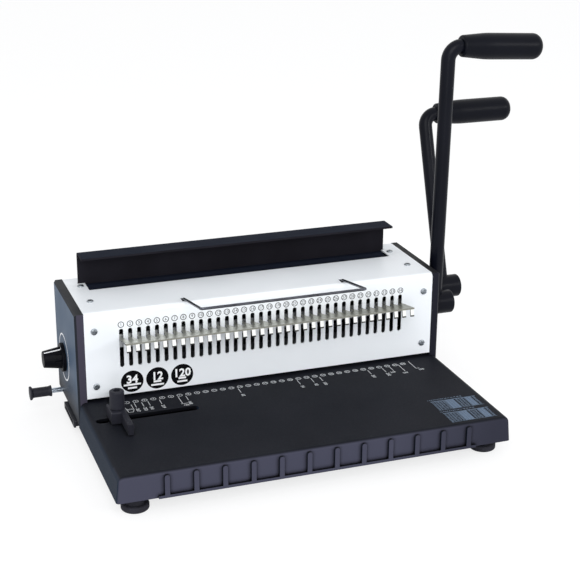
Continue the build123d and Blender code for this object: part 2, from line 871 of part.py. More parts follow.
def gap_cam():
    points = []
    for n in range(cam_faces):
        turn = math.pi / 2 + 2 * math.pi * (n - 1 / 2) / cam_faces
        reach = cam_low + (cam_high - cam_low) * n / (cam_faces - 1)
        points.append((dial_y + reach * math.cos(turn), dial_z + reach * math.sin(turn)))
    return along_x(cam_span, outline(*points)) - dial_shaft()


# Margin rod and back gauge; the rod's peg runs in the gauge's slanted slot

def margin_rod():
    rod = bar_x((knob_inner_x - knob_bore_depth, rod_end_x), rod_y, rod_height, rod_radius)
    collar_span = (peg_x - peg_collar_length / 2, peg_x + peg_collar_length / 2)
    collar = bar_x(collar_span, rod_y, rod_height, peg_collar)
    collar = collar & block((peg_x - peg_collar_length, peg_x + peg_collar_length),
                            (rod_y - peg_collar, rod_y + peg_collar),
                            (rod_height - rod_radius, rod_height + peg_collar))
    peg_top = base_top + throat - sliding_gap
    return rod + collar + bar_z(peg_x, rod_y, (rod_height, peg_top), peg_radius)


def margin_knob():
    inner, outer = knob_inner_x, knob_inner_x - knob_length
    face = outline((inner, 0), (inner, knob_inner_radius), (inner - knob_lip, knob_waist_radius),
                   (outer + knob_lip, knob_waist_radius), (outer + knob_lip / 2, knob_outer_radius),
                   (outer, knob_outer_radius), (outer, 0))
    bore = bar_x((inner - knob_bore_depth, inner), rod_y, rod_height, rod_radius)
    return turned_x(face, rod_y, rod_height) - bore


def rod_guide():
    half = rod_guide_width / 2
    low = foot_height + crossbar_sheet
    span = (rod_guide_x - half, rod_guide_x + half)
    guide = block(span, (rod_y - half, rod_y + half), (low, rod_height + half))
    return guide - bar_x(span, rod_y, rod_height, rod_radius + running_gap)


def back_gauge():
    low = base_top + sliding_gap
    level = (low, low + gauge_thickness)
    front = punch_y + gauge_setback
    bar = block((-gauge_half, gauge_half), (front, front + gauge_depth), level)
    tail_front = die_y[1] + gauge_tail_clear
    neck = block((-gauge_half, gauge_neck_width - gauge_half), (front, rod_y), level)
    tail = block((peg_x - gauge_tail_half, peg_x + gauge_tail_half), (tail_front, rod_y + gauge_tail_beyond),
                 level)
    run = rod_pull + gauge_slot_spare
    slant = math.degrees(math.atan(margin_share))
    length = run / math.cos(math.radians(slant))
    slot = SlotCenterToCenter(length, 2 * (peg_radius + sliding_gap))
    middle = Pos(peg_x - rod_pull / 2, rod_y - margin_share * rod_pull / 2, low)
    return bar + neck + tail - extrude(middle * Rot(0, 0, slant) * slot, amount=base_height / 2, both=True)


# Chip tray

def chip_tray():
    left = -plate_out - tray_panel_out
    top = foot_height - tray_play
    x = (left, tray_right)
    y = (tray_front, tray_rear)
    tray = block(x, y, (tray_low, top))
    tray = tray + block(x, (tray_front - tray_flange, tray_rear + tray_flange), (top - tray_sheet, top))
    hollow = block((left + tray_sheet, tray_right - tray_sheet),
                   (tray_front + tray_sheet, tray_rear - tray_sheet), (tray_low + tray_sheet, top))
    outer = left - tray_panel_thickness
    panel = block((outer, left), (tray_front - tray_flange, tray_rear + tray_flange), (tray_low, top))
    middle = (tray_front + tray_rear) / 2
    recess = block((outer, outer + tray_recess_depth),
                   (middle - tray_recess_length / 2, middle + tray_recess_length / 2),
                   (tray_low + tray_recess_margin, top - tray_recess_margin))
    return tray + panel - hollow - recess


def tray_runners():
    half = plate_in - sliding_gap
    lip = foot_height - tray_play - tray_sheet - tray_play

    def runner(edge, way):
        outside = edge - way * (tray_flange + tray_play)
        back = outside - way * runner_sheet
        tip = outside + way * runner_ledge - way * tray_play
        face = outline((outside, foot_height), (back, foot_height), (back, lip - runner_sheet),
                       (tip, lip - runner_sheet), (tip, lip), (outside, lip))
        return along_x((-half, half), face)

    return group([runner(tray_front, 1), runner(tray_rear, -1)])


# Wire comb with the rail and strip that hold it behind the slots

def comb_place(piece):
    return Pos(0, 0, base_top + comb_rise) * Rot(-comb_tilt, 0, 0) * piece


def wire_comb():
    root, edge = -(comb_reach - comb_tooth_length), -comb_reach
    neck, step = comb_neck_width / 2, tooth_pitch / 2
    end = row_half + comb_end
    band = Pos(0, (root + edge) / 2) * Rectangle(2 * end, root - edge)
    teeth = [outline((x - neck, comb_tail), (x + neck, comb_tail), (x + neck, 0), (x + step, root),
                     (x + step, root - comb_thickness), (x - step, root - comb_thickness), (x - step, root),
                     (x - neck, 0)) for x in teeth_x]
    flat = extrude(Sketch() + [band] + teeth, amount=comb_thickness)
    tongues = [Pos(x, edge + comb_thickness / 2) * Rectangle(tongue_width, comb_thickness) for x in teeth_x]
    drop = extrude(Sketch() + tongues, amount=-tongue_length)
    trim = block((-end, end), (edge, comb_tail), (-tongue_length, comb_thickness))
    return comb_place((flat + drop) & trim)


def comb_rail():
    rear = rail_front + rail_depth
    return comb_place(block((-plate_in, plate_in), (rail_front, rear), (-rail_thickness, 0)))


def comb_clamp():
    front = rail_front + clamp_inset
    end = row_half + clamp_end
    top = comb_thickness + clamp_thickness
    return comb_place(block((-end, end), (front, comb_tail), (comb_thickness, top)))


# Edge guide: block with the paper stop, nut below the base, clamp knob and its stud

def guide_block():
    low = base_top + sliding_gap
    level = (low, low + guide_height)
    bar = block((guide_stop_x - guide_bar_width, guide_stop_x), guide_bar_ends, level)
    bar = bar + block((guide_stop_x - guide_saddle_width, guide_stop_x), guide_saddle_y, level)
    bar = fillet(bar.faces().sort_by(Axis.Z)[-1].edges(), guide_round)
    key_half = guide_slot_width / 2 - sliding_gap
    key = block((guide_middle - guide_key_length / 2, guide_middle + guide_key_length / 2),
                (guide_slot_y - key_half, guide_slot_y + key_half), (base_top - base_wall, low))
    hole = bar_z(guide_middle, guide_slot_y, (foot_height, cover_top), stud_radius + running_gap)
    return bar + key - hole


def guide_nut():
    half = guide_nut_size / 2
    top = base_top - base_wall - sliding_gap
    nut = block((guide_middle - half, guide_middle + half), (guide_slot_y - half, guide_slot_y + half),
                (top - guide_nut_thickness, top))
    return nut - bar_z(guide_middle, guide_slot_y, (foot_height, base_top), stud_radius + running_gap)


def guide_knob():
    low = base_top + sliding_gap + guide_height + sliding_gap
    top = low + guide_knob_height
    hole = guide_knob_hole
    face = outline((0, low), (guide_knob_foot, low), (guide_knob_top, top), (hole, top),
                   (hole, top - guide_knob_hole_depth), (0, top - guide_knob_hole_depth))
    face = rounded(face, (guide_knob_top, top), guide_round)
    knob = Pos(guide_middle, guide_slot_y, 0) * revolve(Plane.XZ * face, Axis.Z)
    return knob - guide_stud()


def guide_stud():
    low = base_top - base_wall - 2 * sliding_gap - guide_nut_thickness
    top = base_top + guide_height + stud_inset
    return bar_z(guide_middle, guide_slot_y, (low, top), stud_radius)


# Wire bail in its two ears under the top

def wire_bail():
    left, right = bail_x
    corner = (bail_pivot_y - bail_reach, bail_z + bail_lift)
    pivot = (bail_pivot_y, bail_z)
    foot_top = (bail_pivot_y, cover_top + bail_foot_rise)
    path = FilletPolyline((left + bail_pin, *pivot), (left, *pivot), (left, *foot_top), (left, *corner),
                          (right, *corner), (right, *foot_top), (right, *pivot), (right - bail_pin, *pivot),
                          radius=bail_bend)
    start = Plane(origin=(left + bail_pin, *pivot), z_dir=(-1, 0, 0))
    return sweep(start * Circle(bail_wire), path)


def bail_brackets():
    ears = []
    for x in (bail_x[0] + ear_inset, bail_x[1] - ear_inset - ear_thickness):
        span = (x, x + ear_thickness)
        ear = bar_x(span, bail_pivot_y, bail_z, ear_radius)
        ear = ear + block(span, (bail_pivot_y - ear_radius, bail_pivot_y + ear_radius), (bail_z, cover_inside))
        ears.append(ear - bar_x(span, bail_pivot_y, bail_z, bail_wire + 2 * running_gap))
    return group(ears)


def lever_set(name, x, y, length, lean, droop):
    rod = tilted(lever_rod(length, droop), x, y, lean)
    return {
        name + "_shaft": shaft(y, x),
        name + "_lever": rod,
        name + "_grip": tilted(grip(length, droop), x, y, lean),
        name + "_hub": lever_hub(x, y, rod),
        name + "_hub_cap": hub_cap(x, y),
        name + "_bushes": shaft_bushes(y),
        name + "_spring": shaft_spring(y),
    }


nodes = {
    "base_moulding": base_moulding(),
    "bottom_plate": bottom_plate(),
    "feet": group(foot(x, y) for x, y in foot_places()),
    "foot_screws": group(foot_screw(x, y) for x, y in foot_places()),
    "rear_crossbar": rear_crossbar(),
    "left_side_plate": side_plate(-1),
    "right_side_plate": side_plate(1),
    "front_top_cover": front_top_cover(),
    "rear_cover": rear_cover(),
    "cover_brackets": cover_brackets(),
    "cover_screws": cover_screws(),
    "rear_screws": rear_screws(),
    "die_plate": die_plate(),
    "punch_guide_plate": punch_guide_plate(),
    "throat_spacers": throat_spacers(),
    "punch_beam": punch_beam(),
    "punch_pins": punch_pins(),
    "punch_yokes": punch_yokes(),
    "punch_eccentrics": group(eccentric(punch_drive, x) for x in punch_yoke_x),
    "closing_eccentrics": group(eccentric(closing_drive, x) for x in lifter_x),
    "closer_lifters": closer_lifters(),
    "closer_channel": closer_channel(),
    "closing_anvil": closing_anvil(),
    "stop_lug": stop_lug(),
    "dial_knob": dial_knob(),
    "dial_shaft": dial_shaft(),
    "dial_bush": dial_bush(),
    "gap_cam": gap_cam(),
    "margin_rod": margin_rod(),
    "margin_knob": margin_knob(),
    "rod_guide": rod_guide(),
    "back_gauge": back_gauge(),
    "chip_tray": chip_tray(),
    "tray_runners": tray_runners(),
    "wire_comb": wire_comb(),
    "comb_rail": comb_rail(),
    "comb_clamp": comb_clamp(),
    "guide_block": guide_block(),
    "guide_nut": guide_nut(),
    "guide_knob": guide_knob(),
    "guide_stud": guide_stud(),
    "wire_bail": wire_bail(),
    "bail_brackets": bail_brackets(),
}
nodes.update(lever_set("punch", punch_lever_x, punch_y, punch_lever_length, punch_lever_lean, punch_grip_droop))
nodes.update(lever_set("closing", closing_lever_x, closing_y, closing_lever_length, closing_lever_lean,
                       closing_grip_droop))

for name, shape in nodes.items():
    export_step(to_origin * shape, os.path.join("parts", name + ".step"))
    print(name, len(shape.solids()), "solid(s)", round(shape.volume), "mm3")
print("punch stroke", punch_stroke, "closing stroke", closing_stroke)
print("origin at", sum(reach_x) / 2, sum(reach_y) / 2)
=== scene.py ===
import math

import bpy
from mathutils import Matrix, Vector


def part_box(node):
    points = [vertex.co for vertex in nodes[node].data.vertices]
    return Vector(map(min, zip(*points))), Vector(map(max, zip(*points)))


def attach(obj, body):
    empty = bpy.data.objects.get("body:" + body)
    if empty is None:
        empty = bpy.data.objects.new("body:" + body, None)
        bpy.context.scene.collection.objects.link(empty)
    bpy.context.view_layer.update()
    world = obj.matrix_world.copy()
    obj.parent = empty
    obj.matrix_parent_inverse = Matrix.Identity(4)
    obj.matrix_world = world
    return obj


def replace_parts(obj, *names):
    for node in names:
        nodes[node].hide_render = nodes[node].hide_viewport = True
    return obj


# Wire binding machine: finishes, prints, screws, springs, light and camera round the CAD frame.
# Blender works in metres; sizes below are in millimetres and are turned by mm.
mm = 0.001

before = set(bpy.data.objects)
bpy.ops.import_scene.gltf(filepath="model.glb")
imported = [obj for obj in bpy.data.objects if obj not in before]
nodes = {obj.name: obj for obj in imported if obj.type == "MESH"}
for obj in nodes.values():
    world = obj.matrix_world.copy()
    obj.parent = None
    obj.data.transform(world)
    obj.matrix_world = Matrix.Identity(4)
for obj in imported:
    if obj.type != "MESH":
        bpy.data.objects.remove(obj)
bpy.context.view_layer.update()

# Places read from the frame
coverLow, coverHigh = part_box("front_top_cover")
rowMiddle = (coverLow.x + coverHigh.x) / 2      # middle of the row of slots
coverFace = coverLow.y                          # front face of the white cover
coverTop = coverHigh.z
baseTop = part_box("base_moulding")[1].z
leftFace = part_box("left_side_plate")[0].x       # outer face of the left plate
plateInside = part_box("right_side_plate")[0].x   # inner face of the right plate
dialLow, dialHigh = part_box("dial_knob")
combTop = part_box("wire_comb")[1].z / mm
toothCount = 34
toothPitch = 8.4667
toothX = [(n - (toothCount - 1) / 2) * toothPitch for n in range(toothCount)]

noiseBand = (0.3, 0.7)      # nearly all values of a noise texture lie between these
# A face takes a side's colour as its normal's part along the axis goes from one value to the other
turned = {"outer": (-0.98, -0.93), "front": (-0.95, -0.85), "top": (0.6, 0.9), "end": (-0.9, -0.6),
          "toothFront": (-0.9, -0.6), "toothLeft": (-0.95, -0.8), "toothRight": (0.8, 0.95)}


def linear(hexColour):      # an sRGB hex value as Blender's linear colour
    channels = [int(hexColour[n:n + 2], 16) / 255 for n in (1, 3, 5)]
    return [c / 12.92 if c <= 0.04045 else ((c + 0.055) / 1.055) ** 2.4 for c in channels] + [1]


def addNode(tree, kind, links=None, **settings):
    node = tree.nodes.new(kind)
    for name, value in settings.items():
        setattr(node, name, value)
    for socket, source in (links or {}).items():
        if isinstance(source, bpy.types.NodeSocket):
            tree.links.new(source, node.inputs[socket])
        else:
            node.inputs[socket].default_value = source
    return node


def perMetre(sizeInMm):
    return 1 / (sizeInMm * mm)


def startMaterial(name, look):
    material = bpy.data.materials.new(name)
    material.use_nodes = True
    tree = material.node_tree
    shader = tree.nodes["Principled BSDF"]
    shader.inputs["Metallic"].default_value = look.get("metallic", 0)
    shader.inputs["Specular IOR Level"].default_value = look.get("specular", 0.5)
    place = addNode(tree, "ShaderNodeTexCoord").outputs["Object"]
    return material, tree, shader, place


def tinted(tree, factor, look, band=noiseBand):     # from the look's dark colour to its light one
    ramp = addNode(tree, "ShaderNodeValToRGB", {"Fac": factor})
    for element, position, shade in zip(ramp.color_ramp.elements, band, ("dark", "light")):
        element.position = position
        element.color = linear(look[shade])
    return ramp.outputs["Color"]


def blended(tree, factor, first, second):
    mix = addNode(tree, "ShaderNodeMix", {0: factor, 6: first, 7: second}, data_type="RGBA")
    return mix.outputs[2]


def along(tree, vector, axis, edges, below, above):     # below turns into above between two values
    part = addNode(tree, "ShaderNodeSeparateXYZ", {"Vector": vector}).outputs[axis]
    share = addNode(tree, "ShaderNodeMapRange", {
        "Value": part, "From Min": edges[0], "From Max": edges[1]})
    return blended(tree, share.outputs["Result"], below, above)


def facing(tree, axis, edges, below, above):        # changes colour with the way that a face looks
    normal = addNode(tree, "ShaderNodeNewGeometry").outputs["Normal"]
    return along(tree, normal, axis, edges, below, above)


def placed(tree, place, axis, edges, below, above):     # the same between two places on an axis
    return along(tree, place, axis, [edge * mm for edge in edges], below, above)


# Links colour, gloss and relief to the shader; kind is what the look calls its relief
def surfaced(tree, shader, look, colour, gloss, relief=None, kind=""):
    tree.links.new(colour, shader.inputs["Base Color"])
    roughness = addNode(tree, "ShaderNodeMapRange", {
        "Value": gloss, "From Min": noiseBand[0], "From Max": noiseBand[1],
        "To Min": look["roughness"][0], "To Max": look["roughness"][1]})
    tree.links.new(roughness.outputs["Result"], shader.inputs["Roughness"])
    if relief is None:
        return
    settings = {"Height": relief, "Strength": look[kind + "Strength"],
                "Distance": look[kind + "Depth"] * mm}
    if "edgeRound" in look:     # sharp CAD edges catch the light as slightly rounded ones
        rounded = addNode(tree, "ShaderNodeBevel", {"Radius": look["edgeRound"] * mm}, samples=4)
        settings["Normal"] = rounded.outputs["Normal"]
    bump = addNode(tree, "ShaderNodeBump", settings)
    tree.links.new(bump.outputs["Normal"], shader.inputs["Normal"])


# Powder coat and baked enamel: a cured film with a faint orange peel
def coated(name, look):
    material, tree, shader, place = startMaterial(name, look)
    peel = addNode(tree, "ShaderNodeTexNoise", {
        "Vector": place, "Scale": perMetre(look["peelSize"]), "Detail": 3}).outputs["Fac"]
    cloud = addNode(tree, "ShaderNodeTexNoise", {
        "Vector": place, "Scale": perMetre(look["cloudSize"]), "Detail": 2}).outputs["Fac"]
    colour = tinted(tree, cloud, look)
    if "outer" in look:     # painted reflection: the broad outer face is bluer than the edges, and lighter higher up
        outer = placed(tree, place, "Z", look["outerEdges"], *map(linear, look["outer"]))
        colour = facing(tree, "X", turned["outer"], outer, colour)
    if "front" in look:     # the narrow front edge is painted lighter, as lit from the front
        colour = facing(tree, "Y", turned["front"], linear(look["front"]), colour)
    if "top" in look:       # faces that lie level: painted shade on the plates, a painted bluer reflection on the channel
        colour = facing(tree, "Z", turned["top"], colour, linear(look["top"]))
    surfaced(tree, shader, look, colour, cloud, peel, "peel")
    return material


# Moulded plastic and rubber: the spark-eroded grain of the mould shows as a fine, even stipple
def moulded(name, look):
    material, tree, shader, place = startMaterial(name, look)
    grain = addNode(tree, "ShaderNodeTexNoise", {
        "Vector": place, "Scale": perMetre(look["grainSize"]), "Detail": 4,
        "Roughness": 0.6}).outputs["Fac"]
    flow = addNode(tree, "ShaderNodeTexNoise", {
        "Vector": place, "Scale": perMetre(look["flowSize"]), "Detail": 2}).outputs["Fac"]
    colour = tinted(tree, flow, look)
    if "front" in look:     # painted light: upright faces lighter than the top, fading darker towards the right
        front = placed(tree, place, "X", look["frontEdges"], *map(linear, look["front"]))
        # painted shade: upright faces behind the front, down in the guide slot, are near black
        front = placed(tree, place, "Y", look["pocketEdges"], front, linear(look["pocket"]))
        colour = facing(tree, "Z", look["uprightEdges"], front, colour)
        # painted shade: faces that look left take a darker blue grey
        colour = facing(tree, "X", turned["end"], linear(look["end"]), colour)
    if "cornerReach" in look:       # painted shade: corners beside ribs and down in slots are darker
        corner = addNode(tree, "ShaderNodeAmbientOcclusion", {
            "Distance": look["cornerReach"] * mm}, samples=6)
        shade = addNode(tree, "ShaderNodeMapRange", {
            "Value": corner.outputs["AO"], "From Min": look["cornerOpen"][0],
            "From Max": look["cornerOpen"][1]})
        colour = blended(tree, shade.outputs["Result"], (0, 0, 0, 1), colour)
    surfaced(tree, shader, look, colour, grain, grain, "grain")
    return material


# Ground, drawn or plated metal: fine lines along the way that it was worked
def worked(name, look):
    material, tree, shader, place = startMaterial(name, {"metallic": 1, **look})
    stretched = addNode(tree, "ShaderNodeMapping", {
        "Vector": place, "Scale": [perMetre(size) for size in look["lines"]]}).outputs["Vector"]
    lines = addNode(tree, "ShaderNodeTexNoise", {
        "Vector": stretched, "Scale": 1, "Detail": 4}).outputs["Fac"]
    cloud = addNode(tree, "ShaderNodeTexNoise", {
        "Vector": place, "Scale": perMetre(look["cloudSize"]), "Detail": 2}).outputs["Fac"]
    colour = tinted(tree, cloud, look)
    if "toothShade" in look:       # painted reflection dulls to the right; painted shade and highlight on the teeth
        toothShade, tongue, strip = (linear(look[part]) for part in ("toothShade", "tongue", "strip"))
        sheenFade = placed(tree, place, "X", look["sheenFadeEdges"], *map(linear, look["sheenFade"]))
        colour = addNode(tree, "ShaderNodeMix", {0: 1.0, 6: colour, 7: sheenFade}, data_type="RGBA",
                         blend_type="MULTIPLY").outputs[2]
        front = placed(tree, place, "Z", look["tipEdges"], toothShade, tongue)
        front = placed(tree, place, "Z", look["stripEdges"], front, strip)
        colour = facing(tree, "Y", turned["toothFront"], front, colour)
        colour = facing(tree, "X", turned["toothLeft"], toothShade, colour)
        colour = facing(tree, "X", turned["toothRight"], colour, toothShade)
    surfaced(tree, shader, look, colour, lines, lines, "line")
    return material


# Galvanised sheet: zinc crystals of slightly different greys
def galvanised(name, look):
    material, tree, shader, place = startMaterial(name, {"metallic": 1, **look})
    crystals = addNode(tree, "ShaderNodeTexVoronoi", {
        "Vector": place, "Scale": perMetre(look["crystalSize"])})
    grey = addNode(tree, "ShaderNodeSeparateColor", {
        "Color": crystals.outputs["Color"]}).outputs["Red"]
    surfaced(tree, shader, look, tinted(tree, grey, look, (0, 1)), grey)
    return material


# Screen-printed ink: a thin matt film that covers a little unevenly
def printedInk(name, look):
    material, tree, shader, place = startMaterial(name, look)
    cover = addNode(tree, "ShaderNodeTexNoise", {
        "Vector": place, "Scale": perMetre(look["coverSize"]), "Detail": 3}).outputs["Fac"]
    surfaced(tree, shader, look, tinted(tree, cover, look), cover)
    return material


# White polyester powder coat on the folded cover: bright, cool white with a satin gloss
whiteCoat = coated("white powder coat", {
    "dark": "#EBF0F5", "light": "#EFF3F8", "specular": 0.3, "roughness": (0.34, 0.42),
    "peelSize": 1.6, "peelDepth": 0.02, "peelStrength": 0.25, "cloudSize": 60, "edgeRound": 0.5})
# Black powder coat on the left plate and rear panel: satin, blue black, with painted reflection on the
# outer face and painted light and shade on front and top
plateCoat = coated("satin black powder coat", {
    "dark": "#171B22", "light": "#1C2028", "front": "#3E3B49", "top": "#13161C",
    "outer": ("#191D25", "#4C5D72"), "outerEdges": (22, 58), "specular": 0.16,
    "roughness": (0.46, 0.56), "peelSize": 0.9, "peelDepth": 0.03, "peelStrength": 0.3,
    "cloudSize": 40, "edgeRound": 0.5})
# The right plate: a darker, duller copy of the same coat as painted shade, with a painted lighter front and
# darker top
rightCoat = coated("dull black powder coat", {
    "dark": "#13151D", "light": "#181A23", "front": "#1A1B25", "top": "#0C0D12", "specular": 0.1,
    "roughness": (0.44, 0.54), "peelSize": 0.9, "peelDepth": 0.03, "peelStrength": 0.3,
    "cloudSize": 40, "edgeRound": 0.5})
# The closer channel has the coarser, matt grade of the same black; its top is painted bluer, a painted
# reflection
channelCoat = coated("matt black powder coat", {
    "dark": "#19181D", "light": "#1F1E24", "top": "#171C28", "specular": 0.04,
    "roughness": (0.6, 0.72), "peelSize": 0.7, "peelDepth": 0.05, "peelStrength": 0.5,
    "cloudSize": 40, "edgeRound": 0.5})
# Baked black enamel on levers and hubs: smoother than the powder coat, with a soft bright band
blackEnamel = coated("black stove enamel", {
    "dark": "#0A0C15", "light": "#0E1019", "specular": 0.11, "roughness": (0.28, 0.34),
    "peelSize": 2.2, "peelDepth": 0.02, "peelStrength": 0.2, "cloudSize": 50, "edgeRound": 0.4})
# Black ABS base from a spark-eroded tool: even fine stipple; painted light makes the sides lighter than the
# top, painted shade darkens corners, slots and the left end
baseAbs = moulded("black ABS with moulded grain", {
    "dark": "#14161D", "light": "#191B22", "front": ("#3F404F", "#2C2D39"),
    "frontEdges": (10, 110), "pocket": "#0A0B10", "pocketEdges": (-130, -129),
    "uprightEdges": (0.35, 0.85), "end": "#1A2534", "cornerReach": 4, "cornerOpen": (0.45, 0.95),
    "specular": 0.08, "roughness": (0.5, 0.66), "grainSize": 0.7, "grainDepth": 0.06,
    "grainStrength": 0.45, "flowSize": 45, "edgeRound": 0.5})
# PVC handle sleeves: smooth and slightly waxy, with hardly any grain
gripPvc = moulded("black PVC sleeve", {
    "dark": "#090B13", "light": "#0C0E17", "specular": 0.1, "roughness": (0.34, 0.4),
    "grainSize": 1.1, "grainDepth": 0.02, "grainStrength": 0.2, "flowSize": 30, "edgeRound": 0.5})
# Size dial and hub caps: black ABS from a polished tool, smooth and close to black
knobAbs = moulded("black ABS, polished tool", {
    "dark": "#0A0B10", "light": "#0D0E14", "specular": 0.05, "roughness": (0.34, 0.42),
    "grainSize": 0.8, "grainDepth": 0.02, "grainStrength": 0.2, "flowSize": 12, "edgeRound": 0.3})
# Guide block, its knob and the margin knob: the same plastic with a matt face
guideAbs = moulded("dark grey ABS, matt", {
    "dark": "#1D1E26", "light": "#23242D", "specular": 0.2, "roughness": (0.46, 0.6),
    "grainSize": 0.6, "grainDepth": 0.04, "grainStrength": 0.4, "flowSize": 14, "edgeRound": 0.4})
# Feet: black nitrile rubber, matt, with a little bloom
footRubber = moulded("black rubber", {
    "dark": "#25252C", "light": "#2D2D35", "specular": 0.2, "roughness": (0.7, 0.85),
    "grainSize": 0.5, "grainDepth": 0.05, "grainStrength": 0.5, "flowSize": 9, "edgeRound": 0.5})
# Chip tray: dark grey high-impact polystyrene, with a slight sheen
trayPlastic = moulded("dark grey polystyrene", {
    "dark": "#24252B", "light": "#2A2B32", "specular": 0.3, "roughness": (0.42, 0.52),
    "grainSize": 0.7, "grainDepth": 0.03, "grainStrength": 0.35, "flowSize": 30, "edgeRound": 0.4})
# Wire comb: stamped strip with dull nickel plating and faint draw lines; painted shade on tooth sides, tips
# and strip front, painted highlight on tongue fronts
nickelStrip = worked("dull nickel plate", {
    "dark": "#A3A49B", "light": "#E2E3DC", "toothShade": "#232323", "tongue": "#F6F7F4",
    "tipEdges": (combTop - 7.2, combTop - 7.0), "strip": "#85857D",
    "stripEdges": (combTop - 1.57, combTop - 1.37), "sheenFade": ("#FAFAF8", "#A6A498"),
    "sheenFadeEdges": (-150, 90), "metallic": 0.75, "roughness": (0.26, 0.38),
    "lines": (14, 0.35, 0.35), "lineDepth": 0.02, "lineStrength": 0.3, "cloudSize": 2.6})
# Wire bail: drawn steel wire, dark chromated, smoky with a sharp highlight
bailWire = worked("dark chromated wire", {
    "dark": "#4A4B52", "light": "#64666E", "roughness": (0.16, 0.26), "lines": (20, 0.5, 0.5),
    "lineDepth": 0.01, "lineStrength": 0.2, "cloudSize": 12})
# Screws: zinc-plated steel, light grey with an even, fine grain
zincSteel = worked("zinc plated steel", {
    "dark": "#868C92", "light": "#A2A8AD", "roughness": (0.28, 0.4), "lines": (1.5, 1.5, 1.5),
    "lineDepth": 0.02, "lineStrength": 0.25, "cloudSize": 3})
# Margin rod: centreless-ground bright steel, with a cool cast
rodSteel = worked("bright ground bar", {
    "dark": "#B4BECB", "light": "#C8D2DE", "roughness": (0.14, 0.22), "lines": (0.4, 9, 9),
    "lineDepth": 0.01, "lineStrength": 0.2, "cloudSize": 15})
# Guide plate, beam, yokes and shafts inside: surface-ground mild steel
groundSteel = worked("ground mild steel", {
    "dark": "#8E9194", "light": "#A6A9AC", "roughness": (0.32, 0.48), "lines": (30, 0.3, 0.3),
    "lineDepth": 0.02, "lineStrength": 0.35, "cloudSize": 35})
# Die, pins, eccentrics and cam: hardened tool steel, ground finer and a little browner
toolSteel = worked("hardened tool steel", {
    "dark": "#7D7C79", "light": "#959491", "roughness": (0.22, 0.34), "lines": (24, 0.25, 0.25),
    "lineDepth": 0.01, "lineStrength": 0.3, "cloudSize": 30})
# Bushes: sintered bronze, open-pored and slightly oily
bronze = worked("sintered bronze", {
    "dark": "#8A6438", "light": "#A57C48", "roughness": (0.4, 0.6), "lines": (0.4, 0.4, 0.4),
    "lineDepth": 0.06, "lineStrength": 0.5, "cloudSize": 4})
# Bottom plate, crossbar, runners, brackets and gauge: hot-dip galvanised sheet
zincSheet = galvanised("galvanised sheet", {
    "dark": "#8C9297", "light": "#A9AFB4", "roughness": (0.34, 0.5), "crystalSize": 7})
# Scales on the base: white screen ink in one thin pass, so that the black greys it a little
whiteInk = printedInk("white screen ink", {
    "dark": "#C9CDD2", "light": "#E2E5E8", "roughness": (0.5, 0.62), "coverSize": 0.8})
# Badges and dial: the same ink in two passes, a full white
brightInk = printedInk("bright white screen ink", {
    "dark": "#F2F4F7", "light": "#F8F9FB", "specular": 0.2, "roughness": (0.5, 0.62),
    "coverSize": 0.8})
# The tables are printed in a thinner, greyer ink
chartInk = printedInk("grey screen ink", {
    "dark": "#62758C", "light": "#7589A2", "roughness": (0.5, 0.62), "coverSize": 0.8})
# Slate screen ink behind the tables' shaded columns
shadeInk = printedInk("slate screen ink", {
    "dark": "#43566C", "light": "#50657E", "roughness": (0.5, 0.62), "coverSize": 0.8})
# Black screen ink on the white cover: dense and flat
blackInk = printedInk("black screen ink", {
    "dark": "#050507", "light": "#08080C", "specular": 0.08, "roughness": (0.5, 0.6),
    "coverSize": 0.8})
print("materials made")

# What each CAD node is finished in
finishes = {
    "base_moulding": baseAbs, "bottom_plate": zincSheet, "feet": footRubber,
    "foot_screws": zincSteel, "rear_crossbar": zincSheet, "left_side_plate": plateCoat,
    "right_side_plate": rightCoat, "front_top_cover": whiteCoat, "rear_cover": plateCoat,
    "cover_brackets": zincSheet, "cover_screws": zincSteel, "rear_screws": zincSteel,
    "die_plate": toolSteel, "punch_guide_plate": groundSteel, "throat_spacers": groundSteel,
    "punch_beam": groundSteel, "punch_pins": toolSteel, "punch_yokes": groundSteel,
    "punch_eccentrics": toolSteel, "closing_eccentrics": toolSteel, "closer_lifters": groundSteel,
    "closer_channel": channelCoat, "closing_anvil": channelCoat, "stop_lug": groundSteel,
    "dial_knob": knobAbs, "dial_shaft": groundSteel, "dial_bush": bronze, "gap_cam": toolSteel,
    "margin_rod": rodSteel, "margin_knob": guideAbs, "rod_guide": groundSteel,
    "back_gauge": zincSheet, "chip_tray": trayPlastic, "tray_runners": zincSheet,
    "wire_comb": nickelStrip, "comb_rail": groundSteel, "comb_clamp": groundSteel,
    "guide_block": guideAbs, "guide_nut": zincSteel, "guide_knob": guideAbs,
    "guide_stud": zincSteel, "wire_bail": bailWire, "bail_brackets": groundSteel,
}
for name in ("punch", "closing"):
    finishes[name + "_shaft"] = groundSteel
    finishes[name + "_lever"] = blackEnamel
    finishes[name + "_grip"] = gripPvc
    finishes[name + "_hub"] = blackEnamel
    finishes[name + "_hub_cap"] = knobAbs
    finishes[name + "_bushes"] = bronze
    finishes[name + "_spring"] = groundSteel
for name, node in nodes.items():
    for slot in node.material_slots:
        slot.material = finishes[name]
print("CAD nodes finished:", len(finishes))


# Ways that a flat drawing can face, seen from outside with its own right and up kept
facingUp = Matrix.Identity(4)
facingFront = Matrix.Rotation(math.pi / 2, 4, "X")
facingLeft = Matrix.Rotation(-math.pi / 2, 4, "Z") @ facingFront
facingRear = Matrix.Rotation(math.pi, 4, "Z") @ facingFront


def deselectAll():
    if bpy.context.mode != "OBJECT":
        bpy.ops.object.mode_set(mode="OBJECT")
    bpy.ops.object.select_all(action="DESELECT")


